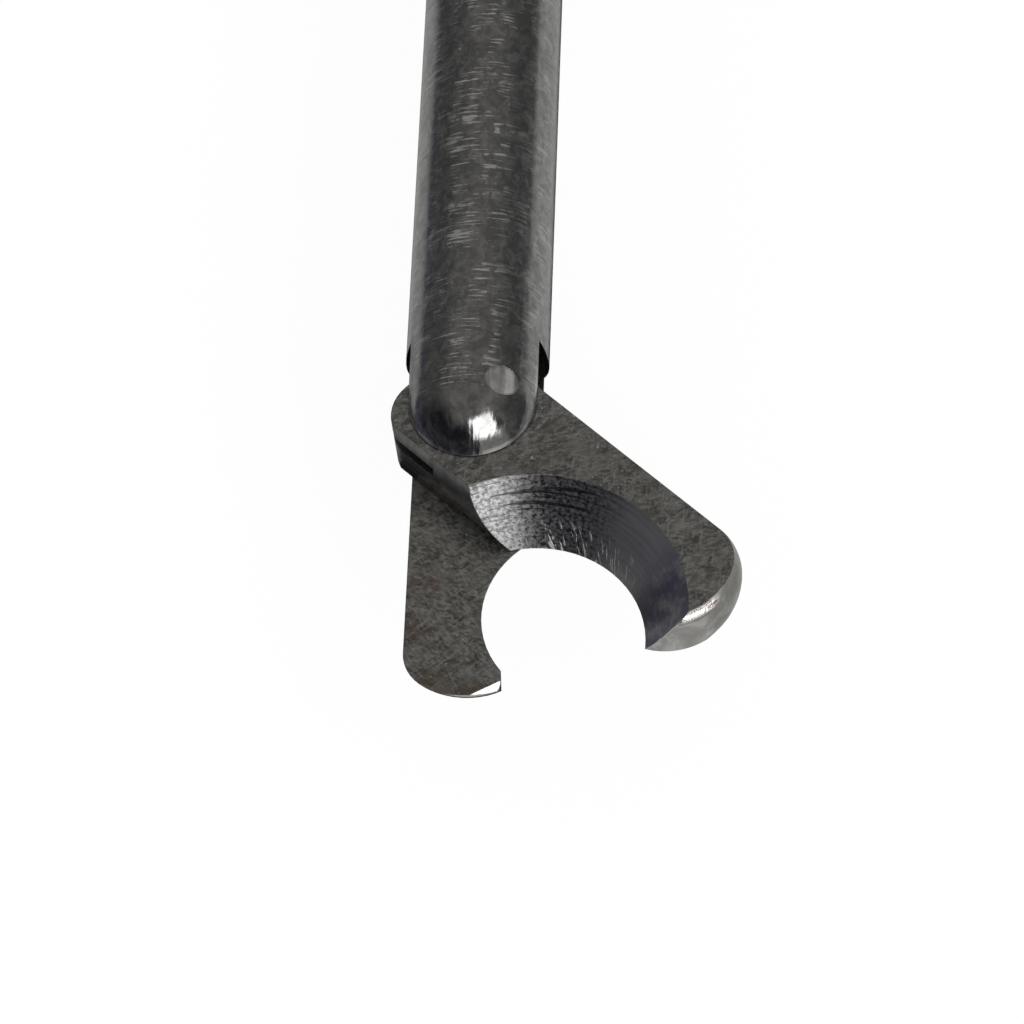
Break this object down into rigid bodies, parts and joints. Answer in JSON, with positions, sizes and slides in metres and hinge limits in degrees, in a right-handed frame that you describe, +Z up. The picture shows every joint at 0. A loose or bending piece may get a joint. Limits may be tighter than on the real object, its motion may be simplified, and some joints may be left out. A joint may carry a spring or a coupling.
{
  "type": "hook scissors",
  "caption": "Laparoscopic scissors with one fixed and one moving hollow-ground hook blade, 5 mm rotating shaft and ring handle.",
  "frame": {"origin": "on the shaft's axis at the flush port hub's distal face, where the working length starts", "axes": "+X along the shaft towards the blades, +Z up, square to the plane that the blades and the rings lie in, +Y away from the rings"},
  "size_m": [0.4554, 0.1, 0.022],
  "materials": {
    "shaft_steel": "fine drawn, satin",
    "blade_steel": "ground and stoned, dark satin",
    "inner_steel": "turned",
    "bearing_plastic": "turned bearing plastic",
    "knob_plastic": "fine moulded grain",
    "handle_plastic": "fine moulded grain",
    "seal_rubber": "moulded silicone"
  },
  "bodies": {
    "handle": {"handle_frame": "handle_plastic", "handle_cover": "handle_plastic", "cover_screws": "inner_steel", "shaft_bushing": "bearing_plastic", "lever_pivot_screw": "inner_steel", "pivot_nut": "inner_steel", "pivot_washers": "bearing_plastic"},
    "lever": {"thumb_lever": "handle_plastic"},
    "shaft": {"outer_tube": "shaft_steel", "clevis_jaw": "blade_steel", "pivot_pin": "blade_steel", "rod_guides": "bearing_plastic", "flush_port_hub": "shaft_steel", "rotation_knob": "knob_plastic", "knob_set_screws": "inner_steel", "shaft_collar": "inner_steel", "rod_seal": "seal_rubber", "seal_nut": "inner_steel", "retaining_clip": "inner_steel"},
    "rod": {"push_rod": "inner_steel", "ball_end": "inner_steel", "ball_lock_nut": "inner_steel"},
    "blade": {"moving_blade": "blade_steel", "drive_pin": "inner_steel"}
  },
  "joints": [
    {"name": "lever_hinge", "type": "hinge", "parent": "handle", "child": "lever", "pos_m": [-0.071, -0.006, 0], "axis": [0, 0, 1], "range_deg": [0, 16.41]},
    {"name": "shaft_turn", "type": "hinge", "parent": "handle", "child": "shaft", "pos_m": [0, 0, 0], "axis": [1, 0, 0], "continuous": true},
    {"name": "rod_slide", "type": "slide", "parent": "shaft", "child": "rod", "axis": [1, 0, 0], "range_m": [-0.00173, 0]},
    {"name": "blade_hinge", "type": "hinge", "parent": "shaft", "child": "blade", "pos_m": [0.319, 0.00109, 0], "axis": [0, 0, 1], "range_deg": [-46.31, 0]}
  ],
  "couplings": [
    {"joint": "rod_slide", "follows": "lever_hinge", "m_per_rad": -0.0060413},
    {"joint": "blade_hinge", "follows": "lever_hinge", "ratio": -2.8222}
  ]
}
